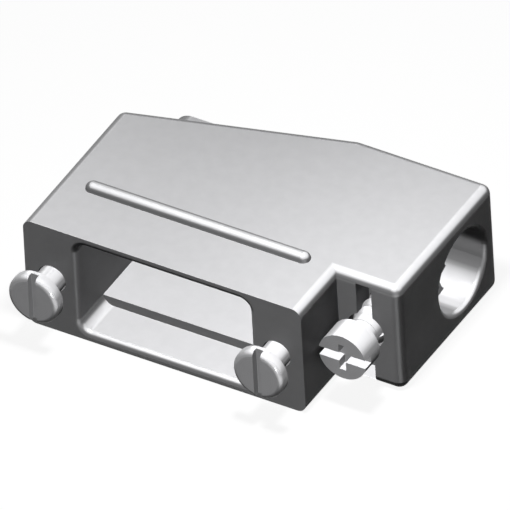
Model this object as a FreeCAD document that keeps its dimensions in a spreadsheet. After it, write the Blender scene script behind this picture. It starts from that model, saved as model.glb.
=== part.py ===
import FreeCAD, Part
import math
import os
from types import SimpleNamespace

import Sketcher

# Lengths closer than this count as the same, and a cut that takes a smaller share counts as none
TOLERANCE = 1e-4
LEAST_SHARE = 1e-6
# Angles in degrees
FULL_TURN = 360
QUARTER_TURN = 90
# Length of a through slot's cutter over the radius of the head, so that it runs out on both sides
SLOT_REACH = 3

# Driving dimensions, in millimetres. Each one becomes a cell of the sheet under this name.
DIMENSIONS = {
    # Connector opening in the front face
    "opening_width": 19.3,
    "opening_height": 10.7,
    "opening_depth": 4.6,
    "opening_corner": 1.2,
    "opening_mouth": 0.6,
    # Casting round the opening
    "screw_inset": 2.85,
    "ear_margin": 2.95,
    "lip_wall": 1.0,
    "edge_radius": 1.0,
    "parting_drop": 1.45,
    "floor_wall": 2.05,
    "rear_wall": 2.05,
    "left_depth": 18.9,
    "slant_run": 22.9,
    # Notch that holds the head of the clamp screw
    "notch_depth": 6.9,
    "head_gap": 0.36,
    "exit_reach": 3.94,
    "exit_wall": 1.5,
    # Cable exit
    "bore_radius": 4.35,
    "bore_mouth": 0.5,
    # Way of the clamp, from the notch to the bore
    "front_wall": 1.0,
    "well_depth": 3.3,
    "thread_wall": 3.35,
    "slot_depth": 2.1,
    "slot_floor": 0.28,
    "slot_roof": 0.76,
    "groove_wall": 1.1,
    "hole_clearance": 0.1,
    # Clamp plate
    "plate_thickness": 1.6,
    "plate_clearance": 0.05,
    "plate_front": 2.7,
    "plate_reach": 1.95,
    "tooth_depth": 1.5,
    "tooth_rise": 0.85,
    "tooth_offset": 1.9,
    "tooth_flank": 0.6,
    "heel_drop": 0.75,
    "heel_level": 4.25,
    # Clamp screw
    "clamp_head_radius": 2.6,
    "clamp_head_height": 2.75,
    "clamp_head_gap": 1.75,
    "clamp_neck_radius": 1.6,
    "clamp_neck_length": 1.35,
    "clamp_core_radius": 1.65,
    "clamp_crest_radius": 1.95,
    "clamp_pitch": 1.45,
    "clamp_thread_length": 9.1,
    "thread_bite": 0.05,
    "thread_land": 0.1,
    "tip_neck_radius": 0.75,
    "tip_neck_length": 0.8,
    "tip_button_radius": 1.35,
    "tip_button_length": 0.75,
    "tip_clearance": 0.05,
    "clamp_slot_width": 1.0,
    "clamp_slot_depth": 1.1,
    "cross_slot_width": 0.75,
    "cross_slot_length": 3.0,
    # Two front screws and the nuts that they turn in
    "front_head_radius": 2.8,
    "front_head_height": 1.2,
    "front_head_rim": 0.42,
    "front_head_gap": 2.6,
    "front_shank_radius": 1.42,
    "front_tip_length": 6.9,
    "front_tip_chamfer": 0.35,
    "front_slot_width": 0.85,
    "front_slot_depth": 0.8,
    "channel_clearance": 0.12,
    "channel_spare": 2.9,
    "nut_width": 4.0,
    "nut_thickness": 2.4,
    "nut_front": 4.0,
    "nut_clearance": 0.05,
    "thread_clearance": 0.05,
    # Three screws that hold the lower shell up to the upper one
    "cover_head_radius": 2.0,
    "cover_head_height": 1.2,
    "cover_head_sink": 1.3,
    "cover_shank_radius": 1.0,
    "cover_shank_length": 7.4,
    "cover_hole_spare": 0.6,
    "cover_slot_width": 0.5,
    "cover_slot_depth": 0.6,
    "cover_clearance": 0.12,
    "cover_ear_place": 12.9,
    "cover_rear_place": 2.95,
    "cover_boss_radius": 2.3,
    "boss_bite": 0.5,
    # Grip bar on the roof and push pad at the rear
    "bar_radius": 0.78,
    "bar_length": 24.9,
    "bar_place": 7.12,
    "pad_radius": 2.0,
    "pad_inset": 2.2,
    # Room round the casting in the blocks that part it
    "block_margin": 1.0,
}


class Size:
    """A size that carries its number and the expression that works it out from the sheet."""

    def __init__(self, value, text):
        self.value = value
        self.text = text

    def __add__(self, other):
        return joined(self, "+", other, self.value + value_of(other))

    def __sub__(self, other):
        return joined(self, "-", other, self.value - value_of(other))

    def __mul__(self, other):
        return joined(self, "*", other, self.value * value_of(other))

    def __truediv__(self, other):
        return joined(self, "/", other, self.value / value_of(other))

    def __neg__(self):
        return joined(0, "-", self, -self.value)


def value_of(size):
    """Gives the number of a size or of a plain number."""
    return size.value if isinstance(size, Size) else float(size)


def text_of(size):
    """Gives the expression of a size or of a plain number."""
    return size.text if isinstance(size, Size) else str(float(size))


def joined(first, sign, second, value):
    """Joins two sizes into the size that the sign makes of them."""
    return Size(value, f"({text_of(first)} {sign} {text_of(second)})")


def root(size):
    """Gives the square root of a size."""
    return Size(math.sqrt(size.value), f"sqrt({size.text})")


def make_sheet(doc):
    """Writes the driving dimensions to the sheet and gives each one back as a size."""
    sheet = doc.addObject("Spreadsheet::Sheet", "Sizes")
    for row, (name, value) in enumerate(DIMENSIONS.items(), 1):
        sheet.set(f"A{row}", name)
        sheet.set(f"B{row}", str(value))
        sheet.setAlias(f"B{row}", name)
    doc.recompute()
    return SimpleNamespace(**{name: Size(value, f"Sizes.{name}") for name, value in DIMENSIONS.items()})


def add_derived(dim):
    """Adds the sizes and places that follow from the driving dimensions."""
    dim.screw_x = dim.opening_width / 2 + dim.screw_inset
    dim.side_x = dim.screw_x + dim.ear_margin
    dim.clamp_x = dim.side_x + dim.head_gap + dim.clamp_head_radius
    dim.exit_x = dim.clamp_x + dim.exit_reach
    dim.half_height = dim.opening_height / 2 + dim.lip_wall
    dim.well_y = dim.notch_depth + dim.front_wall
    dim.thread_y = dim.well_y + dim.well_depth
    dim.bore_y = dim.thread_y + dim.thread_wall + dim.bore_radius
    dim.rear_y = dim.bore_y + dim.bore_radius + dim.rear_wall
    dim.slant_x = dim.slant_run - dim.side_x
    dim.cavity_half = dim.half_height - dim.floor_wall
    dim.groove_half = dim.half_height - dim.groove_wall
    dim.groove_width = dim.plate_thickness + dim.plate_clearance * 2
    dim.hole_radius = dim.clamp_crest_radius + dim.hole_clearance
    dim.head_back = dim.notch_depth - dim.clamp_head_gap
    dim.head_front = dim.head_back - dim.clamp_head_height
    dim.thread_end = dim.head_back + dim.clamp_neck_length + dim.clamp_thread_length
    dim.tooth_y = dim.bore_y + dim.plate_reach
    dim.channel_radius = dim.front_shank_radius + dim.channel_clearance
    dim.channel_depth = dim.front_tip_length + dim.channel_spare
    dim.cover_hole_radius = dim.cover_shank_radius + dim.cover_clearance
    add_slanted_wall(dim)


def add_slanted_wall(dim):
    """Adds where the inside of the slanted rear wall meets the cavity's left and rear walls."""
    rise = dim.rear_y - dim.left_depth
    run = dim.slant_x + dim.side_x
    slope = rise / run
    setback = dim.rear_wall * root(slope * slope + 1)
    dim.cavity_rear = dim.rear_y - dim.rear_wall
    dim.cavity_left = dim.opening_width / 2
    dim.cavity_left_y = dim.left_depth - setback + slope * (dim.side_x - dim.cavity_left)
    dim.cavity_slant_x = dim.slant_x + (dim.cavity_rear - dim.rear_y + setback) / slope


def bind(thing, path, size):
    """Ties one property of an object to a size."""
    thing.setExpression(path, text_of(size))


def add_body(doc, name):
    """Starts a body under its own label."""
    body = doc.addObject("PartDesign::Body", name)
    body.Label = name
    return body


def add_sketch(body, name, role, height=0):
    """Starts a sketch on one of the body's own origin planes, raised along its normal."""
    sketch = body.newObject("Sketcher::SketchObject", name)
    planes = [feature for feature in body.Origin.OriginFeatures if feature.Role == role]
    sketch.AttachmentSupport = (planes[0], "")
    sketch.MapMode = "FlatFace"
    bind(sketch, "AttachmentOffset.Base.z", height)
    return sketch


def fix(sketch, edge, end, place):
    """Ties one point of a sketch to its two sizes."""
    for kind, size in zip(("DistanceX", "DistanceY"), place):
        constraint = Sketcher.Constraint(kind, -1, 1, edge, end, value_of(size))
        bind(sketch, f"Constraints[{sketch.addConstraint(constraint)}]", size)


def vector(place):
    """Gives a place of the sketch as a vector."""
    return FreeCAD.Vector(value_of(place[0]), value_of(place[1]), 0)


def draw_polygon(sketch, places):
    """Draws a closed outline of straight lines through the places."""
    first = sketch.GeometryCount
    for start, end in zip(places, places[1:] + places[:1]):
        sketch.addGeometry(Part.LineSegment(vector(start), vector(end)))
    for number, place in enumerate(places):
        edge = first + number
        following = first + (number + 1) % len(places)
        sketch.addConstraint(Sketcher.Constraint("Coincident", edge, 2, following, 1))
        fix(sketch, edge, 1, place)


def draw_box(sketch, left, low, right, high):
    """Draws a rectangle from its four sides."""
    draw_polygon(sketch, [(left, low), (right, low), (right, high), (left, high)])


def draw_circle(sketch, place, radius):
    """Draws a circle about a place."""
    circle = Part.Circle(vector(place), FreeCAD.Vector(0, 0, 1), value_of(radius))
    edge = sketch.addGeometry(circle)
    fix(sketch, edge, 3, place)
    constraint = Sketcher.Constraint("Radius", edge, value_of(radius))
    bind(sketch, f"Constraints[{sketch.addConstraint(constraint)}]", radius)


def arc_between(centre, start, end):
    """Gives the anticlockwise arc about a centre from one place to another."""
    middle = vector(centre)
    spokes = [vector(start) - middle, vector(end) - middle]
    angles = [math.atan2(spoke.y, spoke.x) for spoke in spokes]
    circle = Part.Circle(middle, FreeCAD.Vector(0, 0, 1), spokes[0].Length)
    return Part.ArcOfCircle(circle, angles[0], angles[1])


def pad(body, name, sketch, length, symmetric=False):
    """Adds the sketch's outline as a solid of the given length."""
    feature = body.newObject("PartDesign::Pad", name)
    feature.Profile = sketch
    feature.SideType = "Symmetric" if symmetric else "One side"
    bind(feature, "Length", length)
    return feature


def pocket(body, name, sketch, depth, symmetric=False, reverse=False):
    """Cuts the sketch's outline to the given depth, and makes sure that it cut something."""
    body.Document.recompute()
    before = body.Tip.Shape.Volume
    feature = body.newObject("PartDesign::Pocket", name)
    feature.Profile = sketch
    feature.SideType = "Symmetric" if symmetric else "One side"
    feature.Reversed = reverse
    bind(feature, "Length", depth)
    body.Document.recompute()
    if feature.Shape.Volume > before * (1 - LEAST_SHARE):
        raise ValueError(f"{name} cuts nothing")
    return feature


def revolve(body, name, sketch, axis="V_Axis"):
    """Turns the sketch's outline right round one of its axes."""
    feature = body.newObject("PartDesign::Revolution", name)
    feature.Profile = sketch
    feature.ReferenceAxis = (sketch, [axis])
    feature.Angle = FULL_TURN
    return feature


def fillet(body, name, chosen, radius):
    """Rounds the edges of the body so far that pass the test."""
    body.Document.recompute()
    base = body.Tip
    edges = [f"Edge{number}" for number, edge in enumerate(base.Shape.Edges, 1) if chosen(edge)]
    feature = body.newObject("PartDesign::Fillet", name)
    feature.Base = (base, edges)
    bind(feature, "Radius", radius)
    body.Document.recompute()
    return feature


def near(first, second):
    """Says whether two lengths are the same."""
    return abs(value_of(first) - value_of(second)) < TOLERANCE


def upright_at(places):
    """Tests for a vertical edge at one of the places."""
    def chosen(edge):
        box = edge.BoundBox
        return not near(box.ZLength, 0) and any(
            near(box.XMin, x) and near(box.XMax, x) and near(box.YMin, y) and near(box.YMax, y)
            for x, y in places)
    return chosen


def outline_at(half_height):
    """Tests for a top or bottom edge of the outline that isn't on the front face."""
    def chosen(edge):
        box = edge.BoundBox
        return near(box.ZLength, 0) and near(abs(box.ZMax), half_height) and not near(box.YMax, 0)
    return chosen


def hood_outline(dim):
    """Gives the corners of the hood seen from above, from the front left one round."""
    left, right = -dim.side_x, dim.side_x
    return [
        (left, Size(0, "0")),
        (right, Size(0, "0")),
        (right, dim.notch_depth),
        (dim.exit_x, dim.notch_depth),
        (dim.exit_x, dim.rear_y),
        (dim.slant_x, dim.rear_y),
        (left, dim.left_depth),
    ]


def add_push_pad(body, dim):
    """Adds the flat topped pad that stands out of the slanted wall, level with the rear wall."""
    sketch = add_sketch(body, "push_pad_outline", "XZ_Plane", -dim.rear_y)
    left = dim.pad_inset - dim.side_x + dim.pad_radius
    top, bottom = (left, dim.pad_radius), (left, -dim.pad_radius)
    arc = sketch.addGeometry(arc_between((left, 0), top, bottom))
    corners = [bottom, (dim.slant_x, -dim.pad_radius), (dim.slant_x, dim.pad_radius), top]
    for start, end in zip(corners, corners[1:]):
        line = sketch.addGeometry(Part.LineSegment(vector(start), vector(end)))
        sketch.addConstraint(Sketcher.Constraint("Coincident", line - 1, 2, line, 1))
        fix(sketch, line, 1, start)
    sketch.addConstraint(Sketcher.Constraint("Coincident", line, 2, arc, 1))
    fix(sketch, line, 2, top)
    place = Sketcher.Constraint("DistanceX", -1, 1, arc, 3, value_of(left))
    bind(sketch, f"Constraints[{sketch.addConstraint(place)}]", left)
    pad(body, "push_pad", sketch, dim.rear_y - dim.left_depth)


def add_grip_bar(body, dim):
    """Adds the half round bar with ball ends that lies across the roof."""
    sketch = add_sketch(body, "grip_bar_outline", "XY_Plane", dim.half_height)
    bind(sketch, "AttachmentOffset.Base.y", dim.bar_place)
    radius, end = dim.bar_radius, dim.bar_length / 2 - dim.bar_radius
    tips = [(-end - radius, 0), (end + radius, 0)]
    shoulders = [(end, radius), (-end, radius)]
    sketch.addGeometry(Part.LineSegment(vector(tips[0]), vector(tips[1])))
    sketch.addGeometry(arc_between((end, 0), tips[1], shoulders[0]))
    sketch.addGeometry(Part.LineSegment(vector(shoulders[0]), vector(shoulders[1])))
    sketch.addGeometry(arc_between((-end, 0), shoulders[1], tips[0]))
    for edge in range(4):
        sketch.addConstraint(Sketcher.Constraint("Coincident", edge, 2, (edge + 1) % 4, 1))
    for edge, place in zip(range(4), [tips[0], tips[1], shoulders[0], shoulders[1]]):
        fix(sketch, edge, 1, place)
    for edge, centre in ((1, end), (3, -end)):
        place = Sketcher.Constraint("DistanceX", -1, 1, edge, 3, value_of(centre))
        bind(sketch, f"Constraints[{sketch.addConstraint(place)}]", centre)
    revolve(body, "grip_bar", sketch, "H_Axis")


def cut_opening(body, dim):
    """Cuts the rounded opening that takes the body of the connector."""
    half_width, half_height = dim.opening_width / 2, dim.opening_height / 2
    sketch = add_sketch(body, "opening_outline", "XZ_Plane")
    draw_box(sketch, -half_width, -half_height, half_width, half_height)
    pocket(body, "opening", sketch, dim.opening_depth)

    def corner(edge):
        box = edge.BoundBox
        return (near(box.YMin, 0) and near(box.YMax, dim.opening_depth)
                and near(max(abs(box.XMin), abs(box.XMax)), half_width)
                and near(max(abs(box.ZMin), abs(box.ZMax)), half_height))

    fillet(body, "opening_corners", corner, dim.opening_corner)


def cut_cavity(body, dim):
    """Cuts the wiring space behind the opening, and leaves the boss of the rear cover screw in it."""
    side = dim.opening_width / 2
    sketch = add_sketch(body, "cavity_outline", "XY_Plane")
    draw_polygon(sketch, [
        (-dim.cavity_left, dim.opening_depth),
        (side, dim.opening_depth),
        (side, dim.cavity_rear),
        (dim.cavity_slant_x, dim.cavity_rear),
        (-dim.cavity_left, dim.cavity_left_y),
    ])
    pocket(body, "cavity", sketch, dim.cavity_half * 2, symmetric=True)
    sketch = add_sketch(body, "boss_outline", "XY_Plane")
    draw_circle(sketch, (-dim.cover_rear_place, dim.left_depth), dim.cover_boss_radius)
    pad(body, "cover_boss", sketch, (dim.cavity_half + dim.boss_bite) * 2, symmetric=True)


def cut_cable_exit(body, dim):
    """Cuts the bore that the cable leaves by, through to the wiring space."""
    sketch = add_sketch(body, "bore_outline", "YZ_Plane", dim.exit_x)
    draw_circle(sketch, (dim.bore_y, 0), dim.bore_radius)
    pocket(body, "bore", sketch, dim.exit_x - dim.opening_width / 2)


def cut_clamp_way(body, dim):
    """Cuts the screw's hole, the well round its thread, and the slot and grooves of the plate."""
    hole = add_sketch(body, "clamp_hole_outline", "XZ_Plane", -dim.notch_depth)
    draw_circle(hole, (dim.clamp_x, 0), dim.hole_radius)
    pocket(body, "clamp_hole", hole, dim.bore_y - dim.notch_depth)
    well = add_sketch(body, "well_outline", "XZ_Plane", -dim.well_y)
    half = dim.hole_radius
    draw_box(well, dim.clamp_x - half, -dim.cavity_half, dim.clamp_x + half, dim.cavity_half)
    pocket(body, "well", well, dim.well_depth)
    slot = add_sketch(body, "slot_outline", "XZ_Plane", -dim.notch_depth)
    left, right = dim.clamp_x - dim.groove_width / 2, dim.clamp_x + dim.groove_width / 2
    draw_box(slot, left, dim.slot_floor - dim.half_height, right, dim.half_height - dim.slot_roof)
    pocket(body, "entry_slot", slot, dim.slot_depth)
    groove = add_sketch(body, "groove_outline", "XZ_Plane", -dim.notch_depth)
    draw_box(groove, left, -dim.groove_half, right, dim.groove_half)
    length = dim.tooth_y - dim.heel_drop + dim.plate_clearance * 2 - dim.notch_depth
    pocket(body, "plate_groove", groove, length)


def cut_front_screws(body, dim):
    """Cuts the channels of the two front screws and the pockets that trap their nuts."""
    channel = add_sketch(body, "channel_outline", "XZ_Plane")
    seat = add_sketch(body, "nut_seat_outline", "XZ_Plane", -(dim.nut_front - dim.nut_clearance))
    half = dim.nut_width / 2 + dim.nut_clearance
    for place in (-dim.screw_x, dim.screw_x):
        draw_circle(channel, (place, 0), dim.channel_radius)
        draw_box(seat, place - half, -half, place + half, half)
    pocket(body, "screw_channels", channel, dim.channel_depth)
    pocket(body, "nut_seats", seat, dim.nut_thickness + dim.nut_clearance * 2)


def cover_screw_places(dim):
    """Gives the name and place of each cover screw, seen from above."""
    return {
        "cover_screw_left": (-dim.screw_x, dim.cover_ear_place),
        "cover_screw_right": (dim.screw_x, dim.cover_ear_place),
        "cover_screw_rear": (-dim.cover_rear_place, dim.left_depth),
    }


def cut_cover_screws(body, dim):
    """Cuts the sunk seats and holes of the cover screws, up from the underside."""
    seat_radius = dim.cover_head_radius + dim.cover_clearance
    thread_radius = dim.cover_shank_radius + dim.thread_clearance
    thread_depth = dim.cover_head_sink + dim.cover_shank_length + dim.cover_hole_spare
    through = dim.half_height - dim.parting_drop
    for name, radius, depth in (
            ("cover_seats", seat_radius, dim.cover_head_sink),
            ("cover_holes", dim.cover_hole_radius, through),
            ("cover_threads", thread_radius, thread_depth)):
        sketch = add_sketch(body, f"{name}_outline", "XY_Plane", -dim.half_height)
        for place in cover_screw_places(dim).values():
            draw_circle(sketch, place, radius)
        pocket(body, name, sketch, depth, reverse=True)


def round_mouths(body, dim):
    """Rounds the rims of the opening and of the cable exit."""
    half_width, half_height = dim.opening_width / 2, dim.opening_height / 2

    def opening_rim(edge):
        box = edge.BoundBox
        within = (abs(box.Center.x) < half_width.value + TOLERANCE
                  and abs(box.Center.z) < half_height.value + TOLERANCE)
        return near(box.YMin, 0) and near(box.YMax, 0) and within

    def bore_rim(edge):
        box = edge.BoundBox
        return near(box.XMin, dim.exit_x) and near(box.XMax, dim.exit_x) and near(box.ZLength, dim.bore_radius * 2)

    fillet(body, "opening_rim", opening_rim, dim.opening_mouth)
    fillet(body, "bore_rim", bore_rim, dim.bore_mouth)


def make_casting(doc, dim):
    """Makes the whole hood casting, before it is parted into its two shells."""
    body = add_body(doc, "casting")
    outline = add_sketch(body, "hood_outline", "XY_Plane")
    corners = hood_outline(dim)
    draw_polygon(outline, corners)
    pad(body, "hood", outline, dim.half_height * 2, symmetric=True)
    add_push_pad(body, dim)
    fillet(body, "upright_edges", upright_at([corners[3], corners[4], corners[6]]), dim.edge_radius)
    fillet(body, "outline_edges", outline_at(dim.half_height), dim.edge_radius)
    add_grip_bar(body, dim)
    cut_opening(body, dim)
    cut_cavity(body, dim)
    cut_cable_exit(body, dim)
    cut_clamp_way(body, dim)
    cut_front_screws(body, dim)
    cut_cover_screws(body, dim)
    round_mouths(body, dim)
    return body


def make_shell(doc, name, casting, low, high, dim):
    """Takes the part of the casting that lies between two levels."""
    block = doc.addObject("Part::Box", f"{name}_space")
    margin = dim.block_margin
    bind(block, "Length", dim.side_x + dim.exit_x + margin * 2)
    bind(block, "Width", dim.rear_y + margin * 2)
    bind(block, "Height", high - low)
    bind(block, "Placement.Base.x", -dim.side_x - margin)
    bind(block, "Placement.Base.y", -margin)
    bind(block, "Placement.Base.z", low)
    shell = doc.addObject("Part::MultiCommon", name)
    shell.Label = name
    shell.Shapes = [casting, block]
    return shell


def lay_along_depth(body, place_x, place_y):
    """Lays a body that was made upright along the depth of the hood, at the given place."""
    body.Placement.Rotation = FreeCAD.Rotation(FreeCAD.Vector(1, 0, 0), -QUARTER_TURN)
    bind(body, "Placement.Base.x", place_x)
    bind(body, "Placement.Base.y", place_y)


def turned_profile(body, name, places):
    """Turns an outline of radii and heights round the body's upright axis."""
    sketch = add_sketch(body, f"{name}_outline", "XZ_Plane")
    draw_polygon(sketch, places)
    revolve(body, name, sketch)


def cut_driver_slot(body, name, width, height, depth):
    """Cuts a screwdriver slot into the head, from its face inwards."""
    sketch = add_sketch(body, f"{name}_outline", "XY_Plane")
    draw_box(sketch, -width / 2, -height / 2, width / 2, height / 2)
    pocket(body, name, sketch, depth, reverse=True)


def make_front_screw(doc, name, place_x, dim):
    """Makes a front screw, its head towards the user and its shank in the trapped nut."""
    body = add_body(doc, name)
    nose = Size(0, "0")
    head, rim = dim.front_head_radius, dim.front_head_rim
    shank, chamfer = dim.front_shank_radius, dim.front_tip_chamfer
    tip = dim.front_head_height + dim.front_head_gap + dim.front_tip_length
    turned_profile(body, "screw", [
        (nose, nose),
        (head - rim, nose),
        (head, rim),
        (head, dim.front_head_height),
        (shank, dim.front_head_height),
        (shank, tip - chamfer),
        (shank - chamfer, tip),
        (nose, tip),
    ])
    cut_driver_slot(body, "driver_slot", dim.front_slot_width, head * SLOT_REACH, dim.front_slot_depth)
    lay_along_depth(body, place_x, -(dim.front_head_height + dim.front_head_gap))
    return body


def make_nut(doc, name, place_x, dim):
    """Makes a square nut that the shells trap."""
    body = add_body(doc, name)
    sketch = add_sketch(body, "nut_outline", "XY_Plane")
    half = dim.nut_width / 2
    draw_box(sketch, -half, -half, half, half)
    draw_circle(sketch, (0, 0), dim.front_shank_radius + dim.thread_clearance)
    pad(body, "nut", sketch, dim.nut_thickness)
    lay_along_depth(body, place_x, dim.nut_front)
    return body


def make_clamp_screw(doc, dim):
    """Makes the clamp screw: combined slot, smooth neck, coarse thread and the button that holds the plate."""
    body = add_body(doc, "clamp_screw")
    face = Size(0, "0")
    neck = dim.clamp_head_height + dim.clamp_neck_length
    thread = neck + dim.clamp_thread_length
    tip_neck = thread + dim.tip_neck_length
    tip = tip_neck + dim.tip_button_length
    turned_profile(body, "screw", [
        (face, face),
        (dim.clamp_head_radius, face),
        (dim.clamp_head_radius, dim.clamp_head_height),
        (dim.clamp_neck_radius, dim.clamp_head_height),
        (dim.clamp_neck_radius, neck),
        (dim.clamp_core_radius, neck),
        (dim.clamp_core_radius, thread),
        (dim.tip_neck_radius, thread),
        (dim.tip_neck_radius, tip_neck),
        (dim.tip_button_radius, tip_neck),
        (dim.tip_button_radius, tip),
        (face, tip),
    ])
    add_thread(body, neck, dim)
    reach = dim.clamp_head_radius * SLOT_REACH
    cut_driver_slot(body, "wide_slot", reach, dim.clamp_slot_width, dim.clamp_slot_depth)
    cut_driver_slot(body, "cross_slot", dim.cross_slot_width, dim.cross_slot_length, dim.clamp_slot_depth)
    lay_along_depth(body, dim.clamp_x, dim.head_front)
    return body


def add_thread(body, start, dim):
    """Adds the sharp crested ridge of the thread, wound round the core from its start."""
    sketch = add_sketch(body, "thread_outline", "XZ_Plane")
    root_radius = dim.clamp_core_radius - dim.thread_bite
    half = (dim.clamp_pitch - dim.thread_land) / 2
    middle = start + dim.clamp_pitch / 2
    draw_polygon(sketch, [
        (root_radius, middle - half),
        (dim.clamp_crest_radius, middle),
        (root_radius, middle + half),
    ])
    helix = body.newObject("PartDesign::AdditiveHelix", "thread")
    helix.Profile = sketch
    helix.ReferenceAxis = (sketch, ["V_Axis"])
    helix.Mode = "pitch-height-angle"
    bind(helix, "Pitch", dim.clamp_pitch)
    bind(helix, "Height", dim.clamp_thread_length - dim.clamp_pitch)
    body.Document.recompute()


def make_clamp_plate(doc, dim):
    """Makes the forked plate that slides to the cable, with saw teeth that grip its sheath."""
    body = add_body(doc, "clamp_plate")
    sketch = add_sketch(body, "plate_outline", "YZ_Plane", dim.clamp_x)
    gap = dim.tip_clearance
    front = dim.notch_depth + dim.plate_front
    top = dim.groove_half - gap
    leg = dim.hole_radius + gap
    bridge = dim.thread_end + gap
    mouth = bridge + dim.tip_neck_length - gap * 2
    pocket_end = dim.thread_end + dim.tip_neck_length + dim.tip_button_length + gap
    mouth_half, pocket_half = dim.tip_neck_radius + gap, dim.tip_button_radius + gap
    tooth, valley = dim.tooth_y, dim.tooth_y - dim.tooth_depth
    upper = [
        (front, leg),
        (front, top),
        (tooth - dim.heel_drop, top),
        (tooth - dim.heel_drop, dim.heel_level),
        (valley, dim.tooth_offset + dim.tooth_flank),
        (tooth, dim.tooth_offset),
        (tooth - dim.tooth_rise, Size(0, "0")),
    ]
    lower = [(place, -level) for place, level in reversed(upper[:-1])]
    notch = [(bridge, leg), (bridge, mouth_half), (mouth, mouth_half), (mouth, pocket_half),
             (pocket_end, pocket_half)]
    inner = [(place, -level) for place, level in notch] + list(reversed(notch))
    draw_polygon(sketch, upper + lower + inner)
    pad(body, "plate", sketch, dim.plate_thickness, symmetric=True)
    return body


def make_cover_screw(doc, name, place, dim):
    """Makes a screw that holds the lower shell up to the upper one."""
    body = add_body(doc, name)
    face = Size(0, "0")
    tip = dim.cover_head_height + dim.cover_shank_length
    turned_profile(body, "screw", [
        (face, face),
        (dim.cover_head_radius, face),
        (dim.cover_head_radius, dim.cover_head_height),
        (dim.cover_shank_radius, dim.cover_head_height),
        (dim.cover_shank_radius, tip),
        (face, tip),
    ])
    reach = dim.cover_head_radius * SLOT_REACH
    cut_driver_slot(body, "driver_slot", reach, dim.cover_slot_width, dim.cover_slot_depth)
    bind(body, "Placement.Base.x", place[0])
    bind(body, "Placement.Base.y", place[1])
    bind(body, "Placement.Base.z", dim.cover_head_sink - dim.cover_head_height - dim.half_height)
    return body


def make_parts(doc, dim):
    """Makes every sub-part of the hood."""
    casting = make_casting(doc, dim)
    parting = -dim.parting_drop
    bottom = -dim.half_height - dim.block_margin
    top = dim.half_height + dim.bar_radius + dim.block_margin
    parts = [
        make_shell(doc, "lower_shell", casting, bottom, parting, dim),
        make_shell(doc, "upper_shell", casting, parting, top, dim),
        make_clamp_screw(doc, dim),
        make_clamp_plate(doc, dim),
    ]
    for side, place in (("left", -dim.screw_x), ("right", dim.screw_x)):
        parts.append(make_front_screw(doc, f"front_screw_{side}", place, dim))
        parts.append(make_nut(doc, f"screw_nut_{side}", place, dim))
    for name, place in cover_screw_places(dim).items():
        parts.append(make_cover_screw(doc, name, place, dim))
    return parts


def check_document(doc, parts):
    """Stops if anything failed to build, or if a sub-part has no sound solid."""
    for thing in doc.Objects:
        if "Invalid" in thing.State or "Error" in thing.State:
            raise ValueError(f"{thing.Name} failed: {thing.State}")
    for part in parts:
        if part.Shape.isNull() or not part.Shape.isValid() or not part.Shape.Solids:
            raise ValueError(f"{part.Label} has no sound solid")


def main():
    """Builds the document and writes one file for each sub-part."""
    doc = FreeCAD.newDocument("hood")
    dim = make_sheet(doc)
    add_derived(dim)
    parts = make_parts(doc, dim)
    doc.recompute()
    check_document(doc, parts)
    os.makedirs("parts", exist_ok=True)
    for part in parts:
        part.Shape.exportStep(f"parts/{part.Label}.step")


main()
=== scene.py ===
"""Looks of the metal d-sub hood: its finishes, front screws, floor, lights and camera."""

import logging
import math
from collections.abc import Callable
from dataclasses import dataclass, field, replace
from enum import Enum

import bmesh
import bpy
from mathutils import Matrix, Vector


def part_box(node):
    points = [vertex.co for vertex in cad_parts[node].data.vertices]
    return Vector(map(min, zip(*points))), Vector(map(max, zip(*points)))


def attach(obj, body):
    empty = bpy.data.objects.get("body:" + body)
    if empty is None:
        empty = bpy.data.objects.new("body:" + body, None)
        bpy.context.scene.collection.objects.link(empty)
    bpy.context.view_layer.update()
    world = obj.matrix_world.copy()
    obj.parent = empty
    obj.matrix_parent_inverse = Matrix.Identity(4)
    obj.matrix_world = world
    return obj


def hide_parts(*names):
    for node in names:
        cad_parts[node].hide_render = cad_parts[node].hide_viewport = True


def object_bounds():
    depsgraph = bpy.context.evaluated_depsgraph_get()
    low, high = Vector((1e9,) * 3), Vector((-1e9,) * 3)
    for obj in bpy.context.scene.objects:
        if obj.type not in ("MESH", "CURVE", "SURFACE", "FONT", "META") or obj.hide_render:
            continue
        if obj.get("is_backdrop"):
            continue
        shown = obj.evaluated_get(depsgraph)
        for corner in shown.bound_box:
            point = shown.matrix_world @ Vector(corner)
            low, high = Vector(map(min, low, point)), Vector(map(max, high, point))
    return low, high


LOG = logging.getLogger("hood")
MM = 0.001
# Lengths closer than this count as the same, and a face is flat where its normal reaches FLAT
NEAR = 1e-6
FLAT = 0.99999
BLACK = (0.0, 0.0, 0.0)
# Blue over red in the metals' greys
COOLNESS = 1.02
# Edges facing the first two directions are polished by hands and also painted brighter, a painted
# highlight; rounded edges facing the third get a painted glint
RUBBED_AND_HIGHLIGHT_SIDE = (0.23, -0.36, 0.905)
CABLE_RUBBED_AND_HIGHLIGHT_SIDE = (0.41, -0.18, 0.89)
PAINTED_GLINT_SIDE = (0.56, -0.74, 0.38)
# How fast the painted glint grows, and how metallic it gets
GLINT_POWER = 2.0
GLINT_METAL = 0.8
# Most of a noise lies in its middle range
MIDDLE = (0.3, 0.7)
NARROW_MIDDLE = (0.35, 0.65)
# Scale of the mottling and of the smudges over that of the grain
MOTTLING = 0.09
SMUDGES = 0.03
# Height of the regular rings over that of the uneven ones
WAVE_SHARE = 0.25
# Brushing draws the grain out along Y
BRUSHED_STRETCH = (1.0, 0.04, 1.0)

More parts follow.
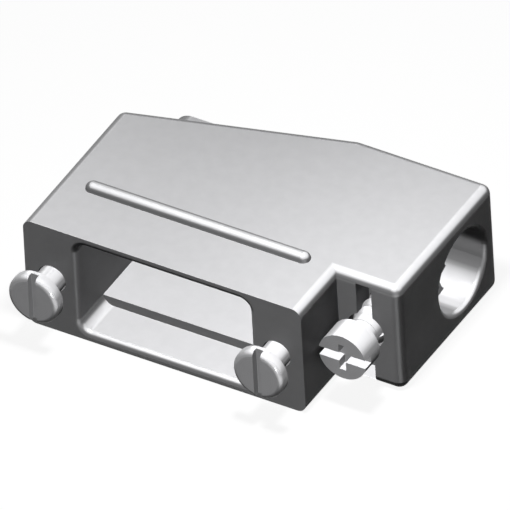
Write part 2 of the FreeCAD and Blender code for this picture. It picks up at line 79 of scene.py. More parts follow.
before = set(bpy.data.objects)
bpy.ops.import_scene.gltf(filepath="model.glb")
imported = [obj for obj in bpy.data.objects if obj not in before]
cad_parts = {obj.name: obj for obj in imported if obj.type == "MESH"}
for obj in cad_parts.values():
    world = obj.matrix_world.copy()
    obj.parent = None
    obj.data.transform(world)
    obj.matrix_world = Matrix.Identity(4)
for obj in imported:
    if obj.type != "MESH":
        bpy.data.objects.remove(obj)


class Relief(Enum):
    """Which fine relief a finish has."""

    CAST = "cast"
    TURNED = "turned"
    BRUSHED = "brushed"


@dataclass(frozen=True)
class WearAndPaintedLightLimits:
    """Where each of the masks for polish, painted highlight and painted shade starts and where it
    is full.

    The edge limits compare the rounded normal with the real one. The slope limits are heights of
    the normal, 1 where the surface lies flat. The turned_away limits say how far the normal points
    to the highlight side, and set where the painted shade starts. Patches gives the noise's limits
    and then the share of polish at each.
    """

    edge: tuple[float, float] = (0.995, 0.86)
    slope: tuple[float, float] = (0.9995, 0.99)
    leaning: tuple[float, float] = (0.0, 0.3)
    underneath: tuple[float, float] = (0.0, -0.2)
    turned_away: tuple[float, float] = (0.92, 0.80)
    turned_far_away: tuple[float, float] = (0.35, -0.1)
    open_air: tuple[float, float] = (0.75, 0.92)
    patches: tuple[float, float, float, float] = (0.35, 0.6, 0.9, 1.0)
    edge_samples: int = 6
    air_samples: int = 4


class Nodes:
    """A shader node tree that is filled one node at a time."""

    def __init__(self, tree: bpy.types.NodeTree) -> None:
        """Starts from an empty tree.

        Args:
            tree: The tree to fill.
        """
        self.tree = tree
        tree.nodes.clear()

    def add(self, kind: str, inputs: dict | None = None, **settings) -> bpy.types.Node:
        """Adds a node, sets its options, and sets or links its inputs.

        Args:
            kind: The node's type, without its ShaderNode prefix.
            inputs: Values or output sockets by input name or number.
            **settings: The node's own options.

        Returns:
            The new node.
        """
        prefix = "" if kind.startswith("Node") else "ShaderNode"
        node = self.tree.nodes.new(prefix + kind)
        for name, value in settings.items():
            setattr(node, name, value)
        for name, value in (inputs or {}).items():
            if isinstance(value, bpy.types.NodeSocket):
                self.tree.links.new(value, node.inputs[name])
            else:
                node.inputs[name].default_value = value
        return node

    def math(self, operation: str, *values: float | bpy.types.NodeSocket) -> bpy.types.NodeSocket:
        """Adds a Math node.

        Args:
            operation: Its operation.
            *values: Its inputs in order.

        Returns:
            Its result.
        """
        return self.add("Math", dict(enumerate(values)), operation=operation).outputs[0]

    def towards(self, normal: bpy.types.NodeSocket,
                side: tuple[float, float, float] | bpy.types.NodeSocket) -> bpy.types.NodeSocket:
        """Says how far a normal points to a side, from -1 to 1."""
        product = self.add("VectorMath", {0: normal, 1: side}, operation="DOT_PRODUCT")
        return product.outputs["Value"]

    def scale_to(self, value: bpy.types.NodeSocket, low: float | bpy.types.NodeSocket,
                 high: float | bpy.types.NodeSocket, to_low: float = 0.0,
                 to_high: float = 1.0) -> bpy.types.NodeSocket:
        """Maps a value from one range to another and clamps it.

        Args:
            value: What is mapped.
            low: Start of its own range.
            high: End of its own range.
            to_low: Start of the range it is mapped to.
            to_high: End of the range it is mapped to.

        Returns:
            The mapped value.
        """
        inputs = {"Value": value, "From Min": low, "From Max": high,
                  "To Min": to_low, "To Max": to_high}
        return self.add("MapRange", inputs, clamp=True).outputs[0]


class Group:
    """A named shader node group with its own inputs and outputs, built once."""

    def __init__(self, name: str, inputs: dict[str, str], outputs: list[str]) -> None:
        """Makes the empty group.

        Args:
            name: The group's name.
            inputs: Socket type by input name.
            outputs: Names of its value outputs.
        """
        self.tree = bpy.data.node_groups.new(name, "ShaderNodeTree")
        for socket, kind in inputs.items():
            self.tree.interface.new_socket(socket, in_out="INPUT", socket_type=kind)
        for socket in outputs:
            self.tree.interface.new_socket(socket, in_out="OUTPUT", socket_type="NodeSocketFloat")
        self.nodes = Nodes(self.tree)
        self.given = self.nodes.add("NodeGroupInput").outputs

    def finish(self, results: dict[str, bpy.types.NodeSocket]) -> None:
        """Links the results to the group's outputs."""
        self.nodes.add("NodeGroupOutput", results)


def make_grain_group() -> bpy.types.NodeTree:
    """Makes the fine grain and soft mottling of a cast or blasted surface.

    Returns:
        The group's tree.
    """
    group = Group("grain", {"Vector": "NodeSocketVector", "Scale": "NodeSocketFloat"},
                  ["Height", "Tone", "Smudge"])
    nodes, given = group.nodes, group.given
    fine = nodes.add("TexNoise", {"Vector": given["Vector"], "Scale": given["Scale"],
                                  "Detail": 4.0, "Roughness": 0.6})
    broad_scale = nodes.math("MULTIPLY", given["Scale"], MOTTLING)
    broad = nodes.add("TexNoise", {"Vector": given["Vector"], "Scale": broad_scale,
                                   "Detail": 3.0, "Roughness": 0.5})
    smudge_scale = nodes.math("MULTIPLY", given["Scale"], SMUDGES)
    smudge = nodes.add("TexNoise", {"Vector": given["Vector"], "Scale": smudge_scale,
                                    "Detail": 5.0, "Roughness": 0.65, "Distortion": 0.6})
    group.finish({
        "Height": fine.outputs[0],
        "Tone": nodes.scale_to(broad.outputs[0], *MIDDLE),
        "Smudge": nodes.scale_to(smudge.outputs[0], *NARROW_MIDDLE),
    })
    return group.tree


def make_wear_and_painted_light_group() -> bpy.types.NodeTree:
    """Makes the masks of where hands polish the metal, with a painted highlight, and of painted
    shade and a painted glint.

    Returns:
        The group's tree. Worn And Highlit is where edges and rounded places are polished and
        painted bright, and Open is the part of it in the open air, which mirrors the surroundings.
        Turned Away Shade and Dark are painted shade on the rounded places turned away from the
        highlight side, and on those underneath. Glint is a painted glint on rounded edges that face
        one fixed side.
    """
    limits = WearAndPaintedLightLimits()
    numbers = ("Width", "Scale", "Reach", "Start", "Full", "Glint Start", "Glint Full")
    group = Group("edge_wear_and_painted_light",
                  {"Vector": "NodeSocketVector"} | {name: "NodeSocketFloat" for name in numbers},
                  ["Mask", "Open", "Turned Away Shade", "Dark", "Glint"])
    nodes, given = group.nodes, group.given
    bevel = nodes.add("Bevel", {"Radius": given["Width"]}, samples=limits.edge_samples)
    normal = nodes.add("NewGeometry").outputs["Normal"]
    rise = nodes.add("SeparateXYZ", {0: normal}).outputs["Z"]
    steep = nodes.math("ABSOLUTE", rise)
    rubbed_and_highlight_facing = nodes.towards(normal, RUBBED_AND_HIGHLIGHT_SIDE)
    nearest = nodes.math("MAXIMUM", rubbed_and_highlight_facing, nodes.towards(normal, CABLE_RUBBED_AND_HIGHLIGHT_SIDE))

    sharp = nodes.scale_to(nodes.towards(bevel.outputs[0], normal), *limits.edge)
    exposed = nodes.math("MAXIMUM", sharp, nodes.scale_to(rise, *limits.slope))
    # Real polish and painted highlight: edges facing the highlight side get a brighter tone
    rubbed_and_highlit = nodes.scale_to(nearest, given["Start"], given["Full"])
    noise = nodes.add("TexNoise", {"Vector": given["Vector"], "Scale": given["Scale"],
                                   "Detail": 3.0})
    patchy = nodes.math("MULTIPLY", rubbed_and_highlit, nodes.scale_to(noise.outputs[0], *limits.patches))
    worn_and_highlit = nodes.math("MULTIPLY", exposed, patchy)
    air = nodes.add("AmbientOcclusion", {"Distance": given["Reach"]},
                    samples=limits.air_samples).outputs["AO"]

    curved = nodes.scale_to(steep, *limits.slope)
    slanted = nodes.math("MULTIPLY", curved, nodes.scale_to(steep, *limits.leaning))
    below = nodes.math("MULTIPLY", curved, nodes.scale_to(rise, *limits.underneath))
    # Painted glint: rounded edges facing one fixed side are made metallic, so they show a bright
    # reflection
    painted_glint_facing = nodes.scale_to(nodes.towards(normal, PAINTED_GLINT_SIDE), given["Glint Start"],
                            given["Glint Full"])
    group.finish({
        "Mask": worn_and_highlit,
        "Open": nodes.math("MULTIPLY", worn_and_highlit, nodes.scale_to(air, *limits.open_air)),
        # Painted shade: rounded places turned away from the highlight side are darkened
        "Turned Away Shade": nodes.math("MULTIPLY", slanted, nodes.scale_to(nearest, *limits.turned_away)),
        # Painted shade: rounded places facing down and away from the highlight side
        "Dark": nodes.math("MULTIPLY", below, nodes.scale_to(rubbed_and_highlight_facing, *limits.turned_far_away)),
        "Glint": nodes.math("MULTIPLY", nodes.math("POWER", painted_glint_facing, GLINT_POWER), GLINT_METAL),
    })
    return group.tree


def make_turning_group() -> bpy.types.NodeTree:
    """Makes the rings that a lathe tool leaves round an axis along Y.

    Returns:
        The group's tree.
    """
    group = Group("turning_marks", {"Vector": "NodeSocketVector", "Pitch": "NodeSocketFloat"},
                  ["Height", "Tone"])
    nodes, given = group.nodes, group.given
    place = nodes.add("SeparateXYZ", {0: given["Vector"]}).outputs
    squares = [nodes.math("POWER", place[axis], 2.0) for axis in "XZ"]
    reach = nodes.math("ADD", nodes.math("SQRT", nodes.math("ADD", *squares)), place["Y"])
    turns = nodes.math("DIVIDE", reach, given["Pitch"])
    noise = nodes.add("TexNoise", {"W": turns, "Scale": 1.0, "Detail": 2.0}, noise_dimensions="1D")
    wave = nodes.math("SINE", nodes.math("MULTIPLY", turns, math.tau))
    height = nodes.math("MULTIPLY_ADD", wave, WAVE_SHARE, noise.outputs[0])
    group.finish({"Height": height, "Tone": nodes.scale_to(noise.outputs[0], *MIDDLE)})
    return group.tree


def make_brushing_group() -> bpy.types.NodeTree:
    """Makes the fine lines of rolled and sheared sheet, along its length.

    Returns:
        The group's tree.
    """
    group = Group("brushing", {"Vector": "NodeSocketVector", "Scale": "NodeSocketFloat"},
                  ["Height", "Tone"])
    nodes, given = group.nodes, group.given
    drawn = nodes.add("VectorMath", {0: given["Vector"], 1: BRUSHED_STRETCH}, operation="MULTIPLY")
    lines = nodes.add("TexNoise", {"Vector": drawn.outputs[0], "Scale": given["Scale"],
                                   "Detail": 4.0})
    group.finish({"Height": lines.outputs[0],
                  "Tone": nodes.scale_to(lines.outputs[0], *NARROW_MIDDLE)})
    return group.tree


class Workshop:
    """The shared node groups that every finish draws on."""

    def __init__(self) -> None:
        """Builds each group once."""
        self.grain = make_grain_group()
        self.wear_and_painted_light = make_wear_and_painted_light_group()
        self.turning = make_turning_group()
        self.brushing = make_brushing_group()


@dataclass(frozen=True)
class Finish:
    """A metal finish, with its relief, its tones, the polish along its edges, and painted light and
    shade.

    The surface varies between the tones light and dark. Its tone is worn_and_highlight, real polish
    with a painted highlight, where it faces the highlight side; turned_away_shade, a painted shade,
    where it is rounded and turned away; and shade, a painted shade too, where it is turned down.
    The pairs rubbed_and_highlit and glint say where those masks start and where they are full.
    """

    name: str
    light: tuple[float, float, float]
    dark: tuple[float, float, float]
    worn_and_highlight: tuple[float, float, float]
    turned_away_shade: tuple[float, float, float]
    relief: Relief
    metallic: float
    roughness: tuple[float, float]
    grain_scale: float = 9000.0
    grain_depth: float = 0.004 * MM
    mark_pitch: float = 0.12 * MM
    mark_depth: float = 0.004 * MM
    wear_width: float = 0.12 * MM
    wear_scale: float = 1350.0
    rubbed_and_highlit: tuple[float, float] = (0.85, 0.95)
    glint: tuple[float, float] = (0.88, 1.0)
    worn_metallic: float = 1.0
    worn_smoothness: float = 0.1
    mark_share: float = 0.5
    shade: float = 0.02
    free_reach: float = 3 * MM
    gloss: float = 0.25
    passed_on: float = 0.1

    @property
    def slot(self) -> str:
        """Name of its material slot."""
        return self.name

    def relief_nodes(self, nodes: Nodes, place: bpy.types.NodeSocket,
                     workshop: Workshop) -> bpy.types.NodeOutputs | None:
        """Adds the marks of the tool that made the surface.

        Args:
            nodes: The material's nodes.
            place: The place on the surface, from the finish's own centre.
            workshop: The shared groups.

        Returns:
            The group's outputs, or None where the surface is only cast.
        """
        if self.relief is Relief.CAST:
            return None
        if self.relief is Relief.TURNED:
            group = nodes.add("Group", node_tree=workshop.turning)
            group.inputs["Pitch"].default_value = self.mark_pitch
        else:
            group = nodes.add("Group", node_tree=workshop.brushing)
            group.inputs["Scale"].default_value = 1.0 / self.mark_pitch
        nodes.tree.links.new(place, group.inputs["Vector"])
        return group.outputs

    def grain_nodes(self, nodes: Nodes, place: bpy.types.NodeSocket,
                    workshop: Workshop) -> bpy.types.NodeOutputs:
        """Adds the grain.

        Args:
            nodes: The material's nodes.
            place: The place on the surface.
            workshop: The shared groups.

        Returns:
            The group's outputs.
        """
        grain = nodes.add("Group", node_tree=workshop.grain)
        grain.inputs["Scale"].default_value = self.grain_scale
        nodes.tree.links.new(place, grain.inputs["Vector"])
        return grain.outputs

    def wear_and_painted_light_nodes(self, nodes: Nodes, place: bpy.types.NodeSocket,
                   workshop: Workshop) -> bpy.types.NodeOutputs:
        """Adds the masks of polish, painted highlight, painted shade and painted glint.

        Args:
            nodes: The material's nodes.
            place: The place on the surface.
            workshop: The shared groups.

        Returns:
            The group's outputs.
        """
        wear_and_painted_light = nodes.add("Group", node_tree=workshop.wear_and_painted_light)
        values = {
            "Width": self.wear_width,
            "Scale": self.wear_scale,
            "Reach": self.free_reach,
            "Start": self.rubbed_and_highlit[0],
            "Full": self.rubbed_and_highlit[1],
            "Glint Start": self.glint[0],
            "Glint Full": self.glint[1],
        }
        for name, value in values.items():
            wear_and_painted_light.inputs[name].default_value = value
        nodes.tree.links.new(place, wear_and_painted_light.inputs["Vector"])
        return wear_and_painted_light.outputs

    def material(self, workshop: Workshop, centre: Vector = Vector(),
                 suffix: str = "") -> bpy.types.Material:
        """Builds the finish as a material.

        Args:
            workshop: The shared groups.
            centre: The place that turned rings are centred on.
            suffix: What tells apart the same finish about another centre.

        Returns:
            The material.
        """
        material = bpy.data.materials.new(self.name + suffix)
        material.use_nodes = True
        nodes = Nodes(material.node_tree)
        coordinates = nodes.add("TexCoord").outputs["Object"]
        place = nodes.add("Mapping", {"Vector": coordinates, "Location": -centre}).outputs[0]
        grain = self.grain_nodes(nodes, place, workshop)
        wear_and_painted_light = self.wear_and_painted_light_nodes(nodes, place, workshop)
        marks = self.relief_nodes(nodes, place, workshop)

        tone = grain["Tone"]
        if marks is not None:
            plain = nodes.math("MULTIPLY", tone, 1.0 - self.mark_share)
            tone = nodes.math("MULTIPLY_ADD", marks["Tone"], self.mark_share, plain)
        colour = self.mixed(nodes, tone, self.dark, self.light)
        # Painted shade: rounded places turned away from the highlight side get a dark grey
        colour = self.mixed(nodes, wear_and_painted_light["Turned Away Shade"], colour, self.turned_away_shade)
        # Painted shade: rounded places facing down and away from the highlight side are painted
        # near black
        colour = self.mixed(nodes, wear_and_painted_light["Dark"], colour, (self.shade,) * 3)
        # Painted highlight: polished edges facing the highlight side are painted near white, and
        # are also smoother and more metallic
        colour = self.mixed(nodes, wear_and_painted_light["Mask"], colour, self.worn_and_highlight)
        bounced = nodes.add("LightPath").outputs["Is Diffuse Ray"]
        held_back = nodes.math("MULTIPLY", bounced, 1.0 - self.passed_on)
        colour = self.mixed(nodes, held_back, colour, BLACK)

        roughness = nodes.scale_to(grain["Smudge"], 0.0, 1.0, *self.roughness)
        roughness = nodes.math("MULTIPLY_ADD", wear_and_painted_light["Mask"], -self.worn_smoothness, roughness)
        normal = nodes.add("Bump", {"Height": grain["Height"], "Distance": self.grain_depth,
                                    "Strength": 1.0}).outputs[0]
        if marks is not None:
            normal = nodes.add("Bump", {"Height": marks["Height"], "Distance": self.mark_depth,
                                        "Normal": normal}).outputs[0]
        metallic = nodes.math("MULTIPLY_ADD", wear_and_painted_light["Open"], self.worn_metallic - self.metallic,
                              self.metallic)
        # Painted glint: metallic raised where rounded edges face one fixed side
        metallic = nodes.math("MAXIMUM", metallic, wear_and_painted_light["Glint"])
        shader = nodes.add("BsdfPrincipled", {
            "Base Color": colour,
            "Metallic": metallic,
            "Roughness": roughness,
            "Specular IOR Level": self.gloss,
            "Normal": normal,
        })
        nodes.add("OutputMaterial", {"Surface": shader.outputs[0]})
        return material

    @staticmethod
    def mixed(nodes: Nodes, factor: bpy.types.NodeSocket,
              first: bpy.types.NodeSocket | tuple[float, float, float],
              second: bpy.types.NodeSocket | tuple[float, float, float]) -> bpy.types.NodeSocket:
        """Mixes two colours.

        Args:
            nodes: The material's nodes.
            factor: How much of the second colour shows.
            first: A colour or the socket of one.
            second: A colour or the socket of one.

        Returns:
            The mixed colour.
        """
        first, second = (value if isinstance(value, bpy.types.NodeSocket) else (*value, 1.0)
                         for value in (first, second))
        node = nodes.add("Mix", {0: factor, 6: first, 7: second}, data_type="RGBA")
        return node.outputs[2]


def grey(level: float) -> tuple[float, float, float]:
    """Gives a neutral metal grey, a little cool, at a linear level."""
    return (level, level, level * COOLNESS)


DIE_CAST = Finish("die_cast", light=grey(0.70), dark=grey(0.67), worn_and_highlight=grey(0.96), turned_away_shade=grey(0.27),
                  relief=Relief.CAST, metallic=0.02, roughness=(0.38, 0.48),
                  wear_width=0.2 * MM, worn_metallic=0.4, gloss=0.03)
CLAMP_STEEL = Finish("clamp_screw_steel", light=grey(0.78), dark=grey(0.72), worn_and_highlight=grey(0.90),
                     turned_away_shade=grey(0.45), relief=Relief.TURNED, metallic=0.02,
                     roughness=(0.30, 0.40), grain_depth=0.001 * MM, rubbed_and_highlit=(0.7, 0.9),
                     glint=(0.8, 0.96), worn_metallic=0.1, gloss=0.05)
FRONT_STEEL = replace(CLAMP_STEEL, name="front_screw_steel", roughness=(0.28, 0.38))
COVER_STEEL = Finish("cover_screw_steel", light=grey(0.62), dark=grey(0.52), worn_and_highlight=grey(0.78),
                     turned_away_shade=grey(0.35), relief=Relief.TURNED, metallic=0.3, roughness=(0.3, 0.4),
                     grain_depth=0.001 * MM)
PLATE_STEEL = Finish("plate_steel", light=grey(0.64), dark=grey(0.54), worn_and_highlight=grey(0.82),
                     turned_away_shade=grey(0.3), relief=Relief.BRUSHED, metallic=0.05,
                     roughness=(0.3, 0.42), grain_depth=0.001 * MM, gloss=0.1)


def only(obj: bpy.types.Object) -> None:
    """Selects one object alone and makes it the active one."""
    bpy.ops.object.select_all(action="DESELECT")
    obj.select_set(True)
    bpy.context.view_layer.objects.active = obj


def pick(test: Callable[..., bool], kind: str = "faces") -> None:
    """Selects the faces or edges of the mesh in edit mode that pass a test.

    Args:
        test: Takes a face or edge and says whether it is picked.
        kind: "faces" or "edges".
    """
    bpy.ops.mesh.select_mode(type="FACE" if kind == "faces" else "EDGE")
    bpy.ops.mesh.select_all(action="DESELECT")
    mesh = bmesh.from_edit_mesh(bpy.context.object.data)
    for element in getattr(mesh, kind):
        if test(element):
            element.select_set(True)
    bmesh.update_edit_mesh(bpy.context.object.data)


def apply_modifier(obj: bpy.types.Object, kind: str, **settings) -> None:
    """Adds a modifier with the given settings and applies it.

    Args:
        obj: The piece.
        kind: The modifier's type.
        **settings: Its options.
    """
    only(obj)
    modifier = obj.modifiers.new(kind.lower(), kind)
    for name, value in settings.items():
        setattr(modifier, name, value)
    bpy.ops.object.modifier_apply(modifier=modifier.name)


@dataclass
class FrontScrew:
    """A front screw with a rounded rim, a driver slot and its fine thread.

    It is made about the upright axis, with the face of its head down at height 0, and laid along
    the hood at the end.
    """

    node: str
    workshop: Workshop
    head_radius: float = 2.8 * MM
    head_height: float = 1.18 * MM
    rim_radius: float = 0.55 * MM
    shank_radius: float = 1.42 * MM
    thread_start: float = 4.2 * MM
    thread_pitch: float = 0.635 * MM
    thread_depth: float = 0.16 * MM
    tip_bevel: float = 0.3 * MM
    slot_width: float = 0.85 * MM
    slot_depth: float = 0.8 * MM
    edge_break: float = 0.04 * MM
    sides: int = 96
    rim_segments: int = 8
    break_segments: int = 2
    turn_steps: int = 40
    ridge_share: float = 0.46
    slot_reach: float = 8.4 * MM
    break_angle: float = math.radians(50)
    smooth_angle: float = math.radians(35)
    low: Vector = field(init=False)
    high: Vector = field(init=False)

    def __post_init__(self) -> None:
        """Reads the node's corners from the frame."""
        self.low, self.high = (Vector(corner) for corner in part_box(self.node))

    @property
    def length(self) -> float:
        """Length from the face of the head to the tip."""
        return self.high.y - self.low.y

    @property
    def centre(self) -> Vector:
        """Centre of the head's face."""
        middle = (self.low + self.high) / 2
        return Vector((middle.x, self.low.y, middle.z))

    @property
    def core_radius(self) -> float:
        """Radius of the shank between the turns of the thread."""
        return self.shank_radius - self.thread_depth

    def make_blank(self) -> bpy.types.Object:
        """Makes the head and extrudes the shank from it.

        Returns:
            The blank, still with a plain shank.
        """
        bpy.ops.object.select_all(action="DESELECT")
        bpy.ops.mesh.primitive_cylinder_add(vertices=self.sides, radius=self.head_radius,
                                            depth=self.head_height,
                                            location=(0, 0, self.head_height / 2))
        blank = bpy.context.object
        bpy.ops.object.transform_apply(location=True)
        bpy.ops.object.mode_set(mode="EDIT")
        pick(lambda face: face.normal.z > FLAT)
        bpy.ops.mesh.inset(thickness=self.head_radius - self.core_radius)
        rise = self.length - self.head_height
        bpy.ops.mesh.extrude_region_move(TRANSFORM_OT_translate={"value": (0, 0, rise)})
        self.pick_ring(self.length)
        bpy.ops.mesh.bevel(offset=self.tip_bevel, segments=1)
        self.pick_ring(0)
        bpy.ops.mesh.bevel(offset=self.rim_radius, segments=self.rim_segments, profile=0.5)
        bpy.ops.object.mode_set(mode="OBJECT")
        return blank

    @staticmethod
    def pick_ring(height: float) -> None:
        """Selects the edges that lie at a height."""
        pick(lambda edge: all(abs(vert.co.z - height) < NEAR for vert in edge.verts), "edges")

    def make_neck(self) -> bpy.types.Object:
        """Makes the plain neck under the head, as thick as the thread's crests.

        Returns:
            The neck.
        """
        bpy.ops.object.select_all(action="DESELECT")
        start = self.head_height - self.edge_break
        depth = self.thread_start - start
        bpy.ops.mesh.primitive_cylinder_add(vertices=self.sides, radius=self.shank_radius,
                                            depth=depth, location=(0, 0, start + depth / 2))
        neck = bpy.context.object
        bpy.ops.object.transform_apply(location=True)
        return neck

    def make_thread(self) -> bpy.types.Object:
        """Winds a three-sided ridge round the shank.

        Returns:
            The ridge.
        """
        bpy.ops.object.select_all(action="DESELECT")
        bpy.ops.mesh.primitive_circle_add(vertices=3, radius=self.thread_pitch / 2,
                                          fill_type="NOTHING")
        ridge = bpy.context.object
        root = self.core_radius - self.edge_break
        places = ((root, self.ridge_share), (self.shank_radius, 0.0), (root, -self.ridge_share))
        start = self.thread_start - self.thread_pitch
        for vertex, (reach, rise) in zip(ridge.data.vertices, places):
            vertex.co = (reach, 0, start + self.thread_pitch * (rise + 0.5))
        turns = math.floor((self.length - self.tip_bevel - start) / self.thread_pitch) - 1
        apply_modifier(ridge, "SCREW", axis="Z", angle=math.tau, screw_offset=self.thread_pitch,
                       iterations=turns, steps=self.turn_steps, render_steps=self.turn_steps,
                       use_smooth_shade=True)
        bpy.ops.object.mode_set(mode="EDIT")
        bpy.ops.mesh.select_mode(type="EDGE")
        bpy.ops.mesh.select_all(action="DESELECT")
        bpy.ops.mesh.select_non_manifold()
        bpy.ops.mesh.fill()
        bpy.ops.mesh.select_all(action="SELECT")
        bpy.ops.mesh.normals_make_consistent(inside=False)
        bpy.ops.object.mode_set(mode="OBJECT")
        return ridge

    def cut_slot(self, screw: bpy.types.Object) -> None:
        """Cuts the driver slot across the head.

        Args:
            screw: The blank.
        """
        bpy.ops.object.select_all(action="DESELECT")
        bpy.ops.mesh.primitive_cube_add(
            size=1, scale=(self.slot_width, self.slot_reach, self.slot_depth * 2))
        cutter = bpy.context.object
        bpy.ops.object.transform_apply(scale=True)
        apply_modifier(screw, "BOOLEAN", operation="DIFFERENCE", solver="EXACT", object=cutter)
        bpy.data.objects.remove(cutter)

    def keep_flats(self, screw: bpy.types.Object) -> None:
        """Marks the edges of the flat faces as sharp, so that they shade flat.

        Args:
            screw: The blank with its slot.
        """
        only(screw)
        bpy.ops.object.mode_set(mode="EDIT")
        pick(lambda edge: any(max(map(abs, face.normal)) > FLAT for face in edge.link_faces),
             "edges")
        bpy.ops.mesh.mark_sharp()
        bpy.ops.object.mode_set(mode="OBJECT")

    def build(self) -> bpy.types.Object:
        """Builds the screw, lays it along the hood and dresses it.

        Returns:
            The finished piece.
        """
        screw = self.make_blank()
        self.cut_slot(screw)
        apply_modifier(screw, "BEVEL", width=self.edge_break, segments=self.break_segments,
                       limit_method="ANGLE", angle_limit=self.break_angle)
        self.keep_flats(screw)
        neck, ridge = self.make_neck(), self.make_thread()
        only(screw)
        neck.select_set(True)
        ridge.select_set(True)
        bpy.ops.object.join()
        bpy.ops.object.shade_smooth_by_angle(angle=self.smooth_angle)
        screw.rotation_euler = (-math.pi / 2, 0, 0)
        screw.location = self.centre
        bpy.ops.object.transform_apply(location=True, rotation=True)
        screw.name = f"{self.node}_dressed"
        screw.data.materials.clear()
        suffix = self.node.removeprefix("front_screw")
        screw.data.materials.append(FRONT_STEEL.material(self.workshop, self.centre, suffix))
        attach(screw, self.node)
        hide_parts(self.node)
        LOG.info("%s: %d faces", screw.name, len(screw.data.polygons))
        return screw


@dataclass
class CarriedOver:
    """The nodes of the frame that keep their shape and only get a finish."""

    workshop: Workshop

    def dress(self, names: list[str], finish: Finish, centred: bool = False) -> None:
        """Gives the named nodes a finish.

        Args:
            names: The nodes.
            finish: Their finish.
            centred: Whether its rings are centred on each node.
        """
        shared = None if centred else finish.material(self.workshop)
        for name in names:
            low, high = (Vector(corner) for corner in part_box(name))
            middle = (low + high) / 2
            centre = Vector((middle.x, low.y, middle.z))
            material = shared or finish.material(self.workshop, centre, f"_{name}")
            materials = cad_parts[name].data.materials
            if not materials:
                materials.append(material)
            for index in range(len(materials)):
                materials[index] = material
            LOG.info("%s: dressed in %s", name, finish.name)

    def build(self) -> None:
        """Dresses every carried-over node."""
        self.dress(["upper_shell", "lower_shell"], DIE_CAST)
        self.dress(["clamp_screw"], CLAMP_STEEL, centred=True)
        self.dress(["clamp_plate", "screw_nut_left", "screw_nut_right"], PLATE_STEEL)
        self.dress(["cover_screw_left", "cover_screw_right", "cover_screw_rear"], COVER_STEEL)


@dataclass(frozen=True)
class Lamp:
    """A soft round lamp that shines straight down and lights only the floor, with a shadow."""

    name: str
    place: tuple[float, float, float]
    width: float
    power: float

    def build(self, floor: bpy.types.Object) -> None:
        """Hangs the lamp.

        Args:
            floor: The floor, the only thing that it lights.
        """
        data = bpy.data.lights.new(self.name, "AREA")
        data.shape = "DISK"
        data.size = self.width
        data.energy = self.power
        lamp = bpy.data.objects.new(self.name, data)
        lamp.location = self.place
        bpy.context.collection.objects.link(lamp)
        receivers = bpy.data.collections.new(f"receivers_of_{self.name}")
        receivers.objects.link(floor)
        lamp.light_linking.receiver_collection = receivers


@dataclass(frozen=True)
class EvenLight:
    """A far spot that throws no shadow, reaches into every recess and leaves some things alone."""

    name: str
    place: tuple[float, float, float]
    target: tuple[float, float, float]
    power: float
    cone: float = math.radians(41.6)
    softness: float = 10 * MM

    def build(self, left_alone: list[bpy.types.Object]) -> None:
        """Hangs the light.

        Args:
            left_alone: What it doesn't reach.
        """
        data = bpy.data.lights.new(self.name, "SPOT")
        data.energy = self.power
        data.spot_size = self.cone
        data.spot_blend = 1.0
        data.shadow_soft_size = self.softness
        data.use_shadow = False
        light = bpy.data.objects.new(self.name, data)
        light.location = self.place
        back = Vector(self.place) - Vector(self.target)
        light.rotation_euler = back.to_track_quat("Z", "Y").to_euler()
        bpy.context.collection.objects.link(light)
        receivers = bpy.data.collections.new(f"receivers_of_{self.name}")
        for index, obj in enumerate(left_alone):
            receivers.objects.link(obj)
            receivers.collection_objects[index].light_linking.link_state = "EXCLUDE"
        light.light_linking.receiver_collection = receivers


FLOOR_LAMP = Lamp("floor_lamp", place=(18 * MM, -3 * MM, 110 * MM), width=18 * MM, power=0.0148)
TOP_LIGHT = EvenLight("top_light", place=(5 * MM, -43 * MM, 400 * MM),
                      target=(10 * MM, -73 * MM, 0.0), power=6.3)
CABLE_SIDE_LIGHT = EvenLight("cable_side_light", place=(5 * MM, -30 * MM, 400 * MM),
                             target=(47 * MM, 13 * MM, 0.0), power=2.4, cone=math.radians(14.9))
INNER_LIGHT = EvenLight("inner_light", place=(5 * MM, 8 * MM, 400 * MM),
                        target=(5 * MM, 8 * MM, 0.0), power=1.5)
BACK_LIGHT = EvenLight("back_light", place=(-300 * MM, 350 * MM, 90 * MM),
                       target=(5 * MM, 9 * MM, 0.0), power=2.5)
SCREW_LIGHT = EvenLight("screw_light", place=(290 * MM, -330 * MM, 40 * MM),
                        target=(5 * MM, -1 * MM, 0.0), power=1.1)


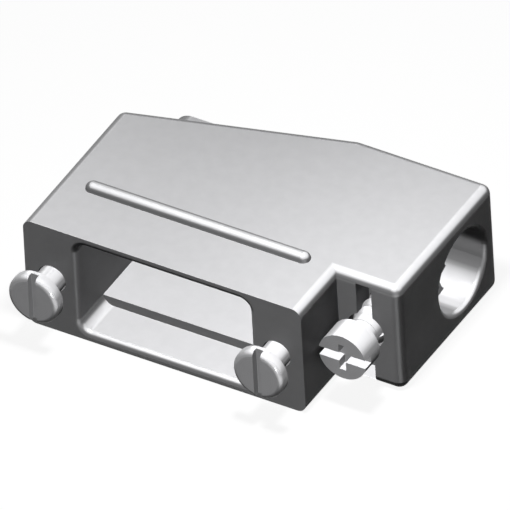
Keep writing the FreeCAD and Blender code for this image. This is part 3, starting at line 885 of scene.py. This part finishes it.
@dataclass
class Studio:
    """The pale floor, the lamps, the sky and the camera.

    The floor glows where it is seen, so that it renders white, and passes on little light
    otherwise.
    """

    floor_size: float = 2.0
    floor_gap: float = 0.01 * MM
    floor_glow: float = 0.90
    floor_colour: float = 0.95
    bounce: float = 0.01
    sky: float = 0.02
    camera_target: tuple[float, float, float] = (4.93 * MM, 9.20 * MM, 2.71 * MM)
    camera_right: tuple[float, float, float] = (0.8656, 0.4988, -0.0439)
    camera_up: tuple[float, float, float] = (-0.2895, 0.5701, 0.7690)
    camera_reach: float = 300 * MM
    nearest_seen: float = 1 * MM
    view_width: float = 49.1 * MM

    @staticmethod
    def seen(nodes: Nodes) -> bpy.types.NodeSocket:
        """Tells rays that show the background from those that only carry light.

        Args:
            nodes: The nodes of the floor or the sky.

        Returns:
            1 for rays from the camera, in gloss and through glass.
        """
        path = nodes.add("LightPath").outputs
        shown = nodes.math("MAXIMUM", path["Is Camera Ray"], path["Is Glossy Ray"])
        return nodes.math("MAXIMUM", shown, path["Is Transmission Ray"])

    def make_floor(self) -> bpy.types.Object:
        """Lays the floor just under the hood.

        Returns:
            The floor.
        """
        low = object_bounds()[0][2] - self.floor_gap
        bpy.ops.object.select_all(action="DESELECT")
        bpy.ops.mesh.primitive_plane_add(size=self.floor_size, location=(0, 0, low))
        floor = bpy.context.object
        floor.name = "floor"
        material = bpy.data.materials.new("floor")
        material.use_nodes = True
        nodes = Nodes(material.node_tree)
        lit = nodes.add("BsdfDiffuse", {"Color": (self.floor_colour,) * 3 + (1.0,)})
        glow = nodes.add("Emission", {"Strength": self.floor_glow})
        shown = nodes.add("AddShader", {0: lit.outputs[0], 1: glow.outputs[0]})
        dim = nodes.add("BsdfDiffuse", {"Color": (self.bounce,) * 3 + (1.0,)})
        mix = nodes.add("MixShader", {0: self.seen(nodes), 1: dim.outputs[0], 2: shown.outputs[0]})
        nodes.add("OutputMaterial", {"Surface": mix.outputs[0]})
        floor.data.materials.append(material)
        floor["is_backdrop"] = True
        return floor

    def make_sky(self) -> None:
        """Makes the sky white where it is seen, and a weak fill light elsewhere."""
        world = bpy.data.worlds.new("sky")
        bpy.context.scene.world = world
        world.use_nodes = True
        nodes = Nodes(world.node_tree)
        strength = nodes.scale_to(self.seen(nodes), 0.0, 1.0, self.sky, 1.0)
        glow = nodes.add("Background", {"Strength": strength})
        glow.inputs["Color"].default_value = (1, 1, 1, 1)
        nodes.add("OutputWorld", {"Surface": glow.outputs[0]})

    def make_camera(self) -> None:
        """Sets the camera at the photograph's angle."""
        right, up = Vector(self.camera_right).normalized(), Vector(self.camera_up).normalized()
        back = right.cross(up).normalized()
        up = back.cross(right)
        turn = Matrix((right, up, back)).transposed().to_4x4()
        place = Vector(self.camera_target) + back * self.camera_reach
        data = bpy.data.cameras.new("camera")
        data.type = "ORTHO"
        data.ortho_scale = self.view_width
        data.clip_start = self.nearest_seen
        camera = bpy.data.objects.new("camera", data)
        bpy.context.collection.objects.link(camera)
        camera.matrix_world = Matrix.Translation(place) @ turn
        bpy.context.scene.camera = camera

    def build(self) -> None:
        """Builds the whole stage."""
        floor = self.make_floor()
        self.make_sky()
        FLOOR_LAMP.build(floor)
        TOP_LIGHT.build([floor])
        CABLE_SIDE_LIGHT.build([floor])
        shells = [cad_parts[name] for name in ("upper_shell", "lower_shell")]
        INNER_LIGHT.build([floor, shells[0]])
        BACK_LIGHT.build([floor])
        SCREW_LIGHT.build([floor, *shells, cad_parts["clamp_plate"]])
        self.make_camera()
        bpy.context.scene.view_settings.view_transform = "Standard"
        LOG.info("stage: ready")


def main() -> None:
    """Builds the sub-assemblies in order."""
    logging.basicConfig(level=logging.INFO)
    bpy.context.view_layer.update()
    Studio().build()
    workshop = Workshop()
    CarriedOver(workshop).build()
    for node in ("front_screw_left", "front_screw_right"):
        FrontScrew(node, workshop).build()


if __name__ == "__main__":
    main()
